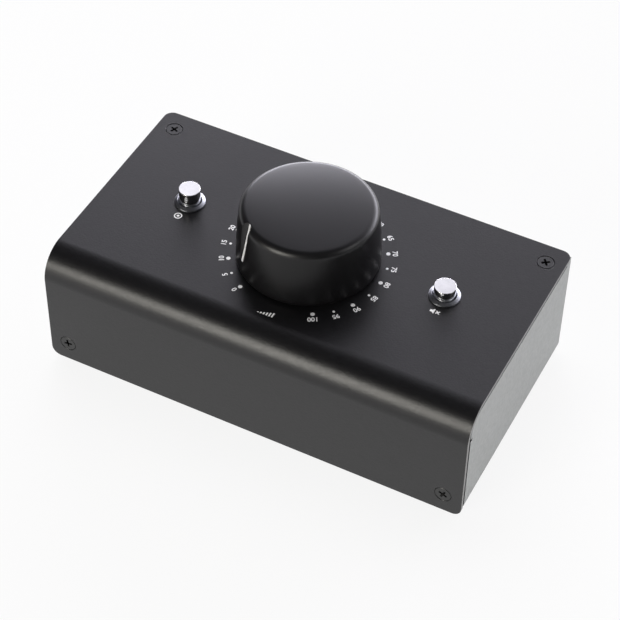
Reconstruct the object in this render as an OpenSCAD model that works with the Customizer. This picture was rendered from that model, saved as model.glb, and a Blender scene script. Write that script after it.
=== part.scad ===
// Studio monitor controller: a passive desktop level control in a folded sheet-metal case.
// Lengths are in millimetres. +Z is up, -Y is the front, +X is to the right.
// The origin is at the centre of the overall footprint, on the surface that the feet stand on.

/* [Case] */
// Width of the cover
case_w = 140; // [132:1:180]
// Depth of the case, front leaf to rear panel
case_d = 76; // [74:1:100]
// Height of the case without its feet
case_h = 41.5; // [40:0.5:60]
// Thickness of the sheet metal
sheet_t = 1.2; // [1:0.1:1.5]
// Inner radius of the cover's front bend
bend_r = 8.4; // [5:0.1:10]
// Radius of the cover's four free corners
corner_r = 3; // [1:0.5:5]
// Inner radius of the chassis folds
fold_r = 0.8; // [0.6:0.1:1.2]
// How far each side stands in from the cover's edge
side_inset = 0.4; // [0.2:0.1:1]
// Gap between the cover's bend and the curved edge of the sides
bend_gap = 0.3; // [0.2:0.1:0.6]
// Gap at the folded seams
seam_gap = 0.3; // [0.2:0.1:0.6]
// Width of the screw flanges
flange_w = 12; // [10:0.5:14]
// Height of the relief notch below the bend
relief_h = 1; // [0.6:0.1:1.5]
// Depth of the relief notch from the front flange's face
relief_d = 3; // [2.4:0.1:4]
// Radius of the rear bottom corner of the sides
side_corner_r = 2.5; // [1:0.5:4]

/* [Cover screws] */
// Distance of the top screws from the side edge
top_screw_in = 6; // [5:0.5:7]
// Distance of the top screws from the rear edge
top_screw_back = 7.1; // [6:0.1:10]
// Distance of the front screws from the side edge
front_screw_in = 6.1; // [5:0.1:7]
// Height of the front screws above the case's lower edge
front_screw_up = 6.9; // [6:0.1:12]
// Diameter of the countersink at the surface
sink_d = 5.6; // [5.2:0.1:6]
// Diameter of the screw head
head_d = 5.1; // [4.6:0.1:5.2]
// Diameter of the screw thread
thread_d = 2.9; // [2.5:0.1:3]
// Length of the cover screws
cover_screw_len = 6; // [5:0.5:8]
// Length of the arms of the cross recess
cross_len = 2.7; // [2:0.1:3]
// Width of the arms of the cross recess
cross_w = 0.55; // [0.4:0.05:0.7]
// Depth of the cross recess
cross_deep = 0.8; // [0.5:0.1:0.9]
// Diameter of the clinch nuts
nut_d = 6; // [5.5:0.1:7]
// Height of the clinch nuts
nut_h = 2; // [1.5:0.1:3]

/* [Feet] */
// Height of the rubber feet
foot_h = 1.5; // [1:0.1:3]
// Diameter of the rubber feet
foot_d = 10; // [8:0.5:14]
// Distance of the feet from the side edges
foot_in = 12; // [9:0.5:16]
// Distance of the feet from the front and rear edges
foot_back = 10; // [8:0.5:14]

/* [Knob] */
// Diameter at the knob's lower edge
knob_base_d = 43.6; // [41.6:0.1:46]
// Diameter at the knob's top, before rounding
knob_top_d = 40.6; // [38:0.1:42.6]
// Height of the knob
knob_h = 21.1; // [19:0.1:24]
// Rise of the knob's domed top towards its middle
knob_dome = 1.6; // [0.5:0.1:2]
// Gap between the knob and the panel
knob_gap = 1; // [0.6:0.1:2]
// Radius of the knob's upper edge
knob_edge_r = 2.6; // [1:0.1:4]
// Chamfer at the knob's lower edge
knob_chamfer = 0.4; // [0.2:0.1:0.8]
// Thickness of the knob's top skin
knob_skin = 3.2; // [2.6:0.1:4]
// Diameter of the knob's hollow
knob_hollow_d = 35; // [30:0.5:36]
// Diameter of the hub's boss
hub_d = 15; // [12:0.5:18]
// Thickness of the hub's disc
hub_disc_t = 2; // [1.5:0.1:3]
// Thickness of the hub's ribs
hub_rib_t = 1.4; // [1:0.1:2]
// Clearance between the parts that turn together
hub_fit = 0.05; // [0.02:0.01:0.1]
// Direction of the pointer at rest, clockwise from the front
pointer_angle = 37.5; // [30:0.5:330]
// Width of the pointer groove
pointer_w = 1.2; // [0.8:0.1:2]
// Depth of the pointer groove at the knob's top
pointer_deep = 1.8; // [1:0.1:2]
// Height of the pointer's lower end above the knob's lower edge
pointer_from = 5.4; // [3:0.1:10]
// Distance of the inlay's upper end below the knob's top
pointer_to = 1.8; // [1.7:0.1:3]
// Thickness of the pointer inlay
inlay_t = 0.3; // [0.2:0.05:0.5]
// Diameter of the set screw
set_screw_d = 3; // [2.5:0.1:3.5]
// Width of the set screw's socket across its flats
set_socket_af = 1.5; // [1.2:0.1:1.8]
// Height of the set screw above the knob's lower edge
set_screw_up = 11.5; // [10:0.1:13]

/* [Potentiometer] */
// Diameter of the shaft
shaft_d = 6; // [5:0.1:6.4]
// Radial clearance of the shaft in its bushing
shaft_fit = 0.05; // [0.02:0.01:0.1]
// Height of the shaft above the panel
shaft_up = 17; // [14:0.1:18]
// Depth of the flat on the shaft
shaft_flat = 1.5; // [1:0.1:2]
// Length of the flat on the shaft
shaft_flat_len = 9; // [8:0.1:10]
// Diameter of the threaded bushing
bushing_d = 9; // [8.4:0.1:10]
// Height of the bushing above the panel
bushing_up = 6; // [4:0.1:6.5]
// Clearance round the bushing in the panel
bushing_gap = 0.15; // [0.1:0.05:0.3]
// Width of the mounting plate
plate_w = 24; // [23:0.5:26]
// Thickness of the mounting plate
plate_t = 1; // [0.8:0.1:1.2]
// Distance of the locating lug from the shaft
lug_out = 9.5; // [8.5:0.1:10]
// Width of the locating lug
lug_w = 2.8; // [2:0.1:3.2]
// Thickness of the locating lug
lug_t = 1.2; // [1:0.1:1.5]
// Number of gangs, two for each channel
gang_count = 4; // [4:1:4]
// Width of each gang
gang_w = 22; // [21:0.5:23]
// Height of each gang
gang_h = 4; // [3.6:0.1:4.4]
// Thickness of each gang's floor
gang_floor = 0.8; // [0.6:0.1:1]
// Diameter of the hollow in each gang
gang_hollow_d = 18; // [17:0.5:18.5]
// Clearance between the shaft and the gang floors
gang_gap = 0.35; // [0.3:0.05:0.5]
// Thickness of the back plate
back_t = 0.8; // [0.6:0.1:1]
// Diameter of the wiper discs
rotor_d = 14; // [12:0.5:16]
// Thickness of the wiper discs
rotor_t = 1.4; // [1.2:0.1:1.6]
// Diameter of the rivets
rivet_d = 1.6; // [1.4:0.1:1.8]
// Distance of the rivets from the middle, both ways
rivet_out = 9.3; // [9:0.1:9.6]
// Width of the terminals
terminal_w = 0.8; // [0.6:0.1:1]
// Thickness of the terminals
terminal_t = 0.5; // [0.4:0.1:0.6]
// Pitch of the terminals
terminal_pitch = 5; // [4:0.1:6]
// Outer diameter of the washer
washer_d = 14; // [12:0.5:15]
// Thickness of the washer
washer_t = 0.6; // [0.5:0.1:1]
// Width of the nut across its flats
shaft_nut_af = 12; // [11:0.5:13]
// Height of the nut
shaft_nut_h = 2.2; // [2:0.1:3]

/* [Buttons] */
// Distance of each button from the middle of the panel
button_x = 43; // [38:0.5:46]
// Distance of the buttons behind the middle of the panel
button_y = 4; // [0:0.5:6]
// Diameter of the button caps
cap_d = 6.7; // [6.2:0.1:7.2]
// Height of a released cap above the panel
cap_up = 5.6; // [5:0.1:7]
// Length of the button caps
cap_len = 10.5; // [10:0.1:11]
// Radius of the caps' upper edge
cap_edge_r = 0.3; // [0.1:0.05:0.6]
// Full travel of a button
button_travel = 2.5; // [2:0.1:2.6]
// How much lower a latched button stands
latch_drop = 1.3; // [1:0.1:1.5]
// Outer diameter of the bezel rings
bezel_d = 9.7; // [9.4:0.1:11]
// Height of the bezel rings above the panel
bezel_h = 1.1; // [0.8:0.1:1.6]
// Radius of the bezel rings' upper edges
bezel_edge_r = 0.35; // [0.2:0.05:0.5]
// Clearance between the cap and its bezel
cap_gap = 0.45; // [0.3:0.05:0.6]
// Wall of the bezel's barrel
barrel_t = 0.5; // [0.4:0.05:0.6]
// Length of the barrel below the panel
barrel_down = 1.2; // [0.8:0.1:1.5]
// Clearance round the barrel in the panel
barrel_gap = 0.05; // [0.02:0.01:0.1]

/* [Switches] */
// Width of the switch cases
switch_w = 8.4; // [8:0.1:10]
// Height of the switch cases
switch_h = 11; // [10.5:0.1:11.2]
// Wall of the switch cases
switch_wall = 1; // [0.8:0.1:1.2]
// Width of the plunger's slide
slide_w = 5.4; // [5:0.1:5.8]
// Height of the plunger's slide
slide_h = 2.4; // [2:0.1:3]
// Width of the plunger's post
post_w = 3.2; // [3:0.1:3.4]
// Depth of the post in the cap
post_deep = 5; // [4:0.1:6]
// Clearance of the sliding parts, each side
slide_fit = 0.1; // [0.05:0.05:0.2]
// Diameter of the spring wire
wire_d = 0.4; // [0.3:0.05:0.5]
// Mean diameter of the springs
spring_d = 4; // [3.6:0.1:4.4]
// Number of turns in each spring
spring_turns = 5; // [4:1:6]
// Gap at each end of the springs
spring_gap = 0.03; // [0.02:0.01:0.1]
// Diameter of the latch pins
latch_d = 0.5; // [0.4:0.1:0.6]
// Height of the slots for the latch pins
latch_slot_h = 7; // [6:0.5:8]

/* [Boards] */
// Thickness of the circuit boards
board_t = 1.6; // [1.2:0.1:2]
// Height of the connector board above the chassis floor
board_up = 3.7; // [3:0.1:5]
// Distance of the connector board from the sides
board_side = 4; // [2:0.5:6]
// Distance of the connector board behind the front leaf
board_front = 7; // [5:0.5:10]
// Diameter of the standoffs
standoff_d = 5.5; // [5:0.1:6]
// Distance of the standoffs from the connector board's side edges
standoff_in = 4; // [3.5:0.1:5]
// Distance of the standoffs behind the connector board's front edge
standoff_back = 5; // [4:0.5:8]
// Distance between front and rear standoffs
standoff_pitch = 30; // [25:1:32]
// Diameter of the pan heads
pan_d = 5.2; // [4.8:0.1:5.4]
// Height of the pan heads
pan_h = 1.5; // [1.2:0.1:1.6]
// Length of the board screws
board_screw_len = 4.5; // [4:0.5:5]
// Width of the control board
control_w = 104; // [100:1:110]
// Distance of the control board's front edge from the shaft
control_front = 20; // [18:0.5:21]
// Distance of the control board's rear edge from the shaft
control_back = 11.4; // [11:0.1:11.6]
// Number of resistors on each side of the control board
resistor_count = 4; // [2:1:5]
// Diameter of the resistors
resistor_d = 2.3; // [2:0.1:2.5]
// Length of the resistors' bodies
resistor_len = 6; // [5:0.5:7]
// Distance between resistors
resistor_pitch = 4; // [3.5:0.1:4.5]
// Diameter of wire leads and pins
lead_d = 0.6; // [0.5:0.1:0.8]
// How far leads and pins stand out below a board
lead_down = 1; // [0.8:0.1:1.5]
// Clearance round leads and pins in a board
lead_gap = 0.1; // [0.05:0.05:0.2]
// Width of the ribbon cable
ribbon_w = 20; // [16:1:24]
// Thickness of the ribbon cable
ribbon_t = 0.9; // [0.7:0.1:1.2]
// Number of conductors in the ribbon cable
ribbon_wires = 16; // [12:1:16]
// Height of the ribbon connectors
header_h = 6; // [5:0.5:6.5]
// Depth of the ribbon connectors
header_d = 6; // [5:0.5:7]

/* [Connectors] */
// Distance between neighbouring connectors
jack_pitch = 31; // [28:0.5:32]
// Width of a connector housing
jack_w = 26; // [25.5:0.5:27]
// Height of a connector housing
jack_h = 29; // [28:0.5:30]
// Depth of an input housing behind the rear panel
input_deep = 24; // [23:0.5:24.5]
// Depth of an output housing behind the rear panel
output_deep = 19; // [18:0.5:20]
// Diameter of the collar that shows through the rear panel
collar_d = 23.4; // [23:0.1:23.6]
// Clearance round the collar in the rear panel
collar_gap = 0.3; // [0.2:0.1:0.4]
// How far the collars stand out of the rear panel
collar_out = 1.6; // [1.5:0.1:2]
// Diameter of the round mouth inside the collar
mouth_d = 19.8; // [19.4:0.1:20.2]
// Depth of the mouth from the collar's rim
mouth_deep = 14; // [13:0.5:14]
// Diameter of the input's core
core_d = 15.6; // [15:0.1:16]
// Diameter of the plug bore in the input's core
plug_bore_d = 6.4; // [6.38:0.01:6.45]
// Depth of the plug bore from the collar's rim
plug_deep = 23; // [23:0.5:24]
// Distance of the contacts from the connector's axis
pin_out = 4.75; // [4.7:0.01:4.9]
// Diameter of the contact pins
pin_d = 2.4; // [2.3:0.1:2.5]
// Diameter of the contact holes
pin_hole_d = 2.7; // [2.6:0.05:2.8]
// Distance of the pin tips behind the collar's rim
pin_recess = 2; // [1:0.1:3]
// Width of the polarising key
key_w = 2.4; // [2:0.1:3]
// Height of the polarising key
key_h = 1.2; // [1:0.1:1.4]
// Width of the contact tails
tail_w = 0.8; // [0.6:0.1:1]
// Distance of the connector screws from the axis, sideways
jack_screw_x = 9.5; // [9.4:0.1:10]
// Distance of the connector screws from the axis, up and down
jack_screw_z = 12; // [11.8:0.1:12.3]
// Length of the connector screws
jack_screw_len = 9; // [8:0.5:10]

/* [Hidden] */
$fn = 64;
// Overlap that keeps cuts clean and joins neighbouring shapes
cut = 1;
join = 0.1;

// Case planes
floor_z = foot_h;
panel_z = foot_h + case_h;
under_z = panel_z - sheet_t;
case_y = -collar_out / 2;
front_y = -case_d / 2;
rear_y = case_d / 2;
leaf_y = front_y + sheet_t;
wall_y = rear_y - sheet_t;
edge_x = case_w / 2;
side_x = edge_x - side_inset;
inner_x = side_x - sheet_t;
deck_z = floor_z + sheet_t;

// Cover bend and chassis folds
bend_out_r = bend_r + sheet_t;
bend_y = front_y + bend_out_r;
bend_z = panel_z - bend_out_r;
side_bend_r = bend_r - bend_gap;
fold_out_r = fold_r + sheet_t;
notch_top_z = bend_z - relief_h / 2;
notch_z = notch_top_z - relief_h;
flange_from_y = bend_y + relief_h;

// Screws through the cover
top_screw_x = edge_x - top_screw_in;
top_screw_y = rear_y - top_screw_back;
front_screw_x = edge_x - front_screw_in;
front_screw_z = floor_z + front_screw_up;
screw_hole_d = thread_d + 0.4;
nut_bore_d = thread_d + 0.1;
head_sunk = 0.05;
TURNS = [-20, 35, 10, 65];

// Potentiometer stack, from the panel down
plate_z = under_z - plate_t;
gangs_z = plate_z - gang_count * gang_h;
back_z = gangs_z - back_t;
shaft_foot_z = gangs_z + 0.3;
control_z = back_z - board_t;
terminal_step = 1.6;

// Knob
knob_z = panel_z + knob_gap;
knob_base_r = knob_base_d / 2;
knob_top_r = knob_top_d / 2;
side_drop = knob_base_r - knob_top_r;
side_r = (knob_h * knob_h + side_drop * side_drop) / (2 * side_drop);
side_mid = [knob_base_r - side_r, 0];
dome_r = (knob_top_r * knob_top_r + knob_dome * knob_dome) / (2 * knob_dome);
dome_mid = [0, knob_h - dome_r];
// Surplus of the rounded edge, so that it crosses the side and the dome cleanly
edge_lap = 0.002;
// Sides of the two wide circles' meshes
wide_sides = 1440;
// Middle of the rounded edge, as far inside the side's circle as inside the dome's
edge_mid = circles_meet(dome_mid, dome_r - knob_edge_r, side_mid, side_r - knob_edge_r);
hub_top = knob_h - knob_skin;
hub_foot = bushing_up - knob_gap + 1;
flat_from = shaft_up - knob_gap - shaft_flat_len + 0.2;
pointer_turn = 270 - pointer_angle;
floor_low_r = side_mid.x + sqrt(side_r * side_r - pointer_from * pointer_from);
floor_high_r = knob_top_r - pointer_deep;
set_turn = pointer_turn + 180;
set_len = hub_d / 2 - (shaft_d / 2 - shaft_flat) - 0.5;

// Buttons and switches
bezel_bore_r = cap_d / 2 + cap_gap;
barrel_r = bezel_bore_r + barrel_t;
chamber_low_z = back_z + switch_wall;
chamber_high_z = back_z + switch_h - switch_wall;
slide_top_z = chamber_high_z - slide_fit / 2;
cap_foot_z = panel_z + cap_up - cap_len;
switch_pin_pitch = 2.2;
switch_pin_row = 3;

// Boards
board_z = deck_z + board_up;
board_top_z = board_z + board_t;
board_x = inner_x - board_side;
board_front_y = leaf_y + board_front;
board_rear_y = wall_y - 0.4;
standoff_x = board_x - standoff_in;
standoff_y = board_front_y + standoff_back;
low_header_y = board_front_y + 6;
high_header_y = 2;
low_ribbon_z = board_top_z + header_h - ribbon_t / 2 - 0.5;
high_ribbon_z = control_z - header_h + ribbon_t / 2 + 0.5;
loop_r = (high_ribbon_z - low_ribbon_z) / 2;
loop_y = min(low_header_y - header_d / 2 - 1, leaf_y + sheet_t + 2 + loop_r + ribbon_t);
resistor_x = 18;
resistor_y = -control_front + 8;
lead_span = resistor_len + 3;

// Connectors, with y measured from the rear panel's outer face
jack_z = board_top_z + jack_h / 2;
collar_y = rear_y + collar_out;
jack_screw_hole_d = thread_d + 0.3;
tail_y = wall_y - input_deep + 6;
pin_foot_y = wall_y - output_deep;
PINS = [[-pin_out, 0], [pin_out, 0], [0, -pin_out]];
LEAF_STEPS = [1, 3.7, 6.4];
leaf_w = 2;
leaf_t = 0.4;
leaf_slot_h = 4;

// Extrusion of a profile drawn in Y and Z
module along_x(x0, x1)
{
    translate([x0, 0, 0])
        rotate([90, 0, 90])
            linear_extrude(x1 - x0)
                children();
}

// Extrusion of a profile drawn in X and Z
module along_y(y0, y1)
{
    translate([0, y1, 0])
        rotate([90, 0, 0])
            linear_extrude(y1 - y0)
                children();
}

module along_z(z0, z1)
{
    translate([0, 0, z0])
        linear_extrude(z1 - z0)
            children();
}

// Rectangle between two corners
module area(p, q)
{
    translate(p)
        square(q - p);
}

// Block between two corners
module block(p, q)
{
    translate(p)
        cube(q - p);
}

// Square block, centred in X and Y
module post(w, z0, z1)
{
    translate([-w / 2, -w / 2, z0])
        cube([w, w, z1 - z0]);
}

module rod(d, z0, z1)
{
    translate([0, 0, z0])
        cylinder(d = d, h = z1 - z0);
}

// Horizontal rod along Y
module rod_y(d, y0, y1)
{
    translate([0, y1, 0])
        rotate([90, 0, 0])
            cylinder(d = d, h = y1 - y0);
}

// Quarter of a flat ring in the corner towards -x and -y of its centre
module quarter_ring(r_out, r_in)
{
    difference() {
        circle(r = r_out);
        circle(r = r_in);
        translate([-r_out - cut, 0])
            square(2 * (r_out + cut));
        translate([0, -r_out - cut])
            square(2 * (r_out + cut));
    }
}

// What rounding takes away from a square corner that points to +x and +y
module corner_waste(r)
{
    difference() {
        translate([-r, -r])
            square(r + cut);
        translate([-r, -r])
            circle(r = r);
    }
}

module both_sides()
{
    children();
    mirror([1, 0, 0])
        children();
}

// Everything is placed from the middle of the case
module in_case()
{
    translate([0, case_y, 0])
        children();
}

module at_button(s)
{
    translate([s * button_x, button_y, 0])
        children();
}

module at_jack(i)
{
    translate([(i - 1.5) * jack_pitch, 0, jack_z])
        children();
}

module at_jack_screws()
{
    for (s = [-1, 1])
        translate([-s * jack_screw_x, 0, s * jack_screw_z])
            children();
}

module at_standoffs()
{
    for (x = [-standoff_x, standoff_x], y = [standoff_y, standoff_y + standoff_pitch])
        translate([x, y, 0])
            children();
}

// Section of the U of floor and sides, in X and Z
module tray_section()
{
    area([-side_x + fold_out_r, floor_z], [side_x - fold_out_r, deck_z]);
    both_sides() {
        area([-side_x, floor_z + fold_out_r], [-inner_x, under_z]);
        translate([-side_x + fold_out_r, floor_z + fold_out_r])
            quarter_ring(fold_out_r, fold_r);
    }
}

// Outline of a side, in Y and Z
module side_outline()
{
    difference() {
        union() {
            area([leaf_y + fold_out_r, floor_z], [rear_y, notch_top_z]);
            area([leaf_y + bend_gap, notch_top_z], [rear_y, bend_z]);
            area([bend_y, floor_z], [rear_y, bend_z + side_bend_r]);
            translate([bend_y, bend_z])
                circle(r = side_bend_r);
        }
        area([leaf_y - cut, notch_z], [leaf_y + relief_d, notch_top_z]);
        translate([rear_y, floor_z])
            mirror([0, 1])
                corner_waste(side_corner_r);
    }
}

module top_flange_section()
{
    area([-side_x, bend_z], [-inner_x, under_z - fold_out_r]);
    area([-side_x + fold_out_r, under_z - sheet_t], [-side_x + flange_w, under_z]);
    translate([-side_x + fold_out_r, under_z - fold_out_r])
        mirror([0, 1])
            quarter_ring(fold_out_r, fold_r);
}

module front_flange_section()
{
    area([-side_x, leaf_y + fold_out_r], [-inner_x, leaf_y + fold_out_r + join]);
    area([-side_x + fold_out_r, leaf_y], [-side_x + flange_w, leaf_y + sheet_t]);
    translate([-side_x + fold_out_r, leaf_y + fold_out_r])
        quarter_ring(fold_out_r, fold_r);
}

module rear_section()
{
    area([wall_y, floor_z + fold_out_r], [rear_y, under_z]);
    area([wall_y - fold_out_r, floor_z], [rear_y - fold_out_r, deck_z]);
    translate([rear_y - fold_out_r, floor_z + fold_out_r])
        mirror([1, 0])
            quarter_ring(fold_out_r, fold_r);
}

module base_chassis()
{
    in_case()
        color("darkgray")
            difference() {
                union() {
                    intersection() {
                        along_y(leaf_y, rear_y)
                            tray_section();
                        union() {
                            both_sides()
                                along_x(-side_x - cut, -side_x + fold_out_r)
                                    side_outline();
                            block(
                                [-side_x + fold_out_r, leaf_y, floor_z],
                                [side_x - fold_out_r, wall_y - fold_r, deck_z]
                            );
                        }
                    }
                    both_sides() {
                        intersection() {
                            along_y(flange_from_y, wall_y - seam_gap)
                                top_flange_section();
                            block(
                                [-side_x, flange_from_y, bend_z],
                                [-side_x + flange_w, wall_y, under_z]
                            );
                        }
                        along_z(floor_z + fold_out_r + seam_gap, notch_z)
                            front_flange_section();
                    }
                    along_x(-inner_x + seam_gap, inner_x - seam_gap)
                        rear_section();
                }
                both_sides() {
                    translate([top_screw_x, top_screw_y, 0])
                        rod(screw_hole_d, under_z - sheet_t - cut, under_z + cut);
                    translate([front_screw_x, 0, front_screw_z])
                        rod_y(screw_hole_d, leaf_y - cut, leaf_y + sheet_t + cut);
                    // The blank stands free of the top flange's foremost fold
                    block(
                        [side_x - fold_out_r - cut, bend_y, bend_z + side_bend_r],
                        [side_x + cut, flange_from_y, panel_z]
                    );
                }
                for (i = [0:3])
                    at_jack(i) {
                        rod_y(collar_d + 2 * collar_gap, wall_y - cut, rear_y + cut);
                        at_jack_screws()
                            rod_y(jack_screw_hole_d, wall_y - cut, rear_y + cut);
                    }
            }
}

module cover_section()
{
    area([bend_y, under_z], [rear_y, panel_z]);
    area([front_y, floor_z], [leaf_y, bend_z]);
    translate([bend_y, bend_z])
        mirror([0, 1])
            quarter_ring(bend_out_r, bend_r);
}

// Countersunk hole whose surface lies at z = 0
module countersink()
{
    translate([0, 0, -sheet_t])
        cylinder(d1 = screw_hole_d, d2 = sink_d, h = sheet_t);
    translate([0, 0, -sheet_t - cut])
        cylinder(d = screw_hole_d, h = sheet_t + cut);
    cylinder(d = sink_d, h = cut);
}

// The cover's screws, numbered from the top left round to the front right
module at_cover_screw(i)
{
    s = i % 2 == 0 ? -1 : 1;
    if (i < 2)
        translate([s * top_screw_x, top_screw_y, panel_z])
            children();
    else
        translate([s * front_screw_x, front_y, front_screw_z])
            rotate([90, 0, 0])
                children();
}

module top_cover()
{
    in_case()
        color("dimgray")
            difference() {
                along_x(-edge_x, edge_x)
                    cover_section();
                both_sides() {
                    translate([edge_x, rear_y, 0])
                        along_z(under_z - cut, panel_z + cut)
                            corner_waste(corner_r);
                    translate([edge_x, 0, floor_z])
                        along_y(front_y - cut, leaf_y + cut)
                            mirror([0, 1])
                                corner_waste(corner_r);
                    at_button(1)
                        rod(2 * (barrel_r + barrel_gap), under_z - cut, panel_z + cut);
                }
                for (i = [0:3])
                    at_cover_screw(i)
                        countersink();
                rod(bushing_d + 2 * bushing_gap, under_z - cut, panel_z + cut);
                translate([0, lug_out, 0])
                    block(
                        [-lug_w / 2 - bushing_gap, -lug_t / 2 - bushing_gap, under_z - cut],
                        [lug_w / 2 + bushing_gap, lug_t / 2 + bushing_gap, panel_z + cut]
                    );
            }
}

module cross_recess()
{
    for (a = [0, 90])
        rotate([0, 0, a])
            translate([-cross_len / 2, -cross_w / 2, -cross_deep])
                cube([cross_len, cross_w, cross_deep + cut]);
    translate([0, 0, -cross_deep])
        cylinder(d1 = cross_w, d2 = 2.5 * cross_w, h = cross_deep + join);
}

module cover_screws()
{
    sink_angle_h = sheet_t * (head_d - thread_d) / (sink_d - screw_hole_d);
    in_case()
        color("black")
            for (i = [0:3])
                at_cover_screw(i)
                    translate([0, 0, -head_sunk])
                        rotate([0, 0, TURNS[i]])
                            difference() {
                                union() {
                                    translate([0, 0, -sink_angle_h])
                                        cylinder(d1 = thread_d, d2 = head_d, h = sink_angle_h);
                                    rod(thread_d, -cover_screw_len, -sink_angle_h + join);
                                }
                                cross_recess();
                            }
}

module clinch_nuts()
{
    in_case()
        color("silver")
            for (i = [0:3])
                at_cover_screw(i)
                    difference() {
                        rod(nut_d, -2 * sheet_t - nut_h, -2 * sheet_t);
                        rod(nut_bore_d, -2 * sheet_t - nut_h - cut, -sheet_t);
                    }
}

module rubber_feet()
{
    in_case()
        color("black")
            for (x = [-edge_x + foot_in, edge_x - foot_in])
                for (y = [front_y + foot_back, rear_y - foot_back])
                    translate([x, y, 0])
                        cylinder(d1 = foot_d - 1, d2 = foot_d, h = foot_h);
}

module connector_board()
{
    in_case()
        color("darkgreen")
            difference() {
                block([-board_x, board_front_y, board_z], [board_x, board_rear_y, board_top_z]);
                at_standoffs()
                    rod(screw_hole_d, board_z - cut, board_top_z + cut);
                for (i = [0:3])
                    at_jack(i)
                        for (p = PINS)
                            translate([p[0], i < 2 ? tail_y : pin_foot_y - tail_w, 0])
                                rod(2 * tail_w, -jack_h / 2 - board_t - cut, -jack_h / 2 + cut);
            }
}

module board_standoffs()
{
    in_case()
        color("silver")
            at_standoffs()
                difference() {
                    translate([0, 0, deck_z])
                        cylinder(d = standoff_d, h = board_up, $fn = 6);
                    rod(nut_bore_d, deck_z + cut / 2, board_z + cut);
                }
}

module pan_screw(len)
{
    difference() {
        union() {
            rotate_extrude()
                intersection() {
                    translate([0, pan_h - pan_d])
                        circle(r = pan_d);
                    square([pan_d / 2, pan_h]);
                }
            rod(thread_d, -len, join);
        }
        translate([0, 0, pan_h])
            cross_recess();
    }
}

module board_screws()
{
    in_case()
        color("silver")
            at_standoffs()
                translate([0, 0, board_top_z])
                    pan_screw(board_screw_len);
}

module at_switch_pins()
{
    for (x = [-switch_pin_row, switch_pin_row], k = [-1:1])
        translate([x, k * switch_pin_pitch, 0])
            children();
}

module at_pot_terminals(gang)
{
    for (k = [-1:1])
        translate([k * terminal_pitch, -gang_w / 2 - gang * terminal_step, 0])
            children();
}

module at_resistors()
{
    for (s = [-1, 1], k = [0:resistor_count - 1])
        translate([s * (resistor_x + k * resistor_pitch), resistor_y, back_z])
            children();
}

module control_board()
{
    in_case()
        color("darkgreen")
            difference() {
                block([-control_w / 2, -control_front, control_z], [control_w / 2, control_back, back_z]);
                for (s = [-1, 1])
                    at_button(s)
                        at_switch_pins()
                            rod(lead_d + 2 * lead_gap, control_z - cut, back_z + cut);
                for (gang = [1:gang_count])
                    at_pot_terminals(gang)
                        rod(terminal_w + 4 * lead_gap, control_z - cut, back_z + cut);
                at_resistors()
                    for (s = [-1, 1])
                        translate([0, s * lead_span / 2, 0])
                            rod(lead_d + 2 * lead_gap, -board_t - cut, cut);
            }
}

module resistors()
{
    in_case()
        color("tan")
            at_resistors() {
                translate([0, 0, resistor_d / 2]) {
                    rod_y(resistor_d, -resistor_len / 2, resistor_len / 2);
                    rod_y(lead_d, -lead_span / 2, lead_span / 2);
                }
                for (s = [-1, 1])
                    translate([0, s * lead_span / 2, 0])
                        rod(lead_d, -board_t - lead_down, (resistor_d + lead_d) / 2);
            }
}

// Centre line of the ribbon cable, thickened, in Y and Z
module ribbon_section()
{
    area([loop_y, low_ribbon_z - ribbon_t / 2], [low_header_y - header_d / 2, low_ribbon_z + ribbon_t / 2]);
    area([loop_y, high_ribbon_z - ribbon_t / 2], [high_header_y - header_d / 2, high_ribbon_z + ribbon_t / 2]);
    translate([loop_y, (low_ribbon_z + high_ribbon_z) / 2])
        difference() {
            circle(r = loop_r + ribbon_t / 2);
            circle(r = loop_r - ribbon_t / 2);
            translate([0, -loop_r - cut])
                square(2 * (loop_r + cut));
        }
}

module ribbon_cable()
{
    wire_w = ribbon_w / ribbon_wires;
    valley = ribbon_t / 6;
    in_case()
        color("lightgray")
            difference() {
                along_x(-ribbon_w / 2, ribbon_w / 2)
                    ribbon_section();
                for (k = [1:ribbon_wires - 1], z = [low_ribbon_z, high_ribbon_z])
                    translate([k * wire_w - ribbon_w / 2, 0, z + ribbon_t / 2])
                        rotate([0, 45, 0])
                            translate([-valley / 2, loop_y, -valley / 2])
                                cube([valley, case_d, valley]);
            }
}

module ribbon_headers()
{
    in_case()
        color("black") {
            block(
                [-ribbon_w / 2 - 1, low_header_y - header_d / 2, board_top_z],
                [ribbon_w / 2 + 1, low_header_y + header_d / 2, board_top_z + header_h]
            );
            block(
                [-ribbon_w / 2 - 1, high_header_y - header_d / 2, control_z - header_h],
                [ribbon_w / 2 + 1, high_header_y + header_d / 2, control_z]
            );
        }
}

// Screw holes that every connector housing has
module jack_screw_holes()
{
    at_jack_screws()
        rod_y(nut_bore_d, wall_y - jack_screw_len, wall_y + cut);
}

module jack_body(deep)
{
    block([-jack_w / 2, wall_y - deep, -jack_h / 2], [jack_w / 2, wall_y, jack_h / 2]);
    rod_y(collar_d, wall_y - join, collar_y);
}

// Plug bore and contact holes, which run through the core into the housing
module input_holes()
{
    rod_y(plug_bore_d, collar_y - plug_deep, collar_y + cut);
    for (p = PINS)
        translate([p[0], 0, p[1]])
            rod_y(pin_hole_d, tail_y - tail_w, collar_y + cut);
}

module input_core(i)
{
    in_case()
        color("darkslategray")
            at_jack(i)
                difference() {
                    rod_y(core_d, collar_y - mouth_deep, collar_y);
                    input_holes();
                    block(
                        [-key_w / 2, collar_y - mouth_deep - cut, core_d / 2 - key_h],
                        [key_w / 2, collar_y + cut, core_d / 2 + cut]
                    );
                }
}

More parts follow.
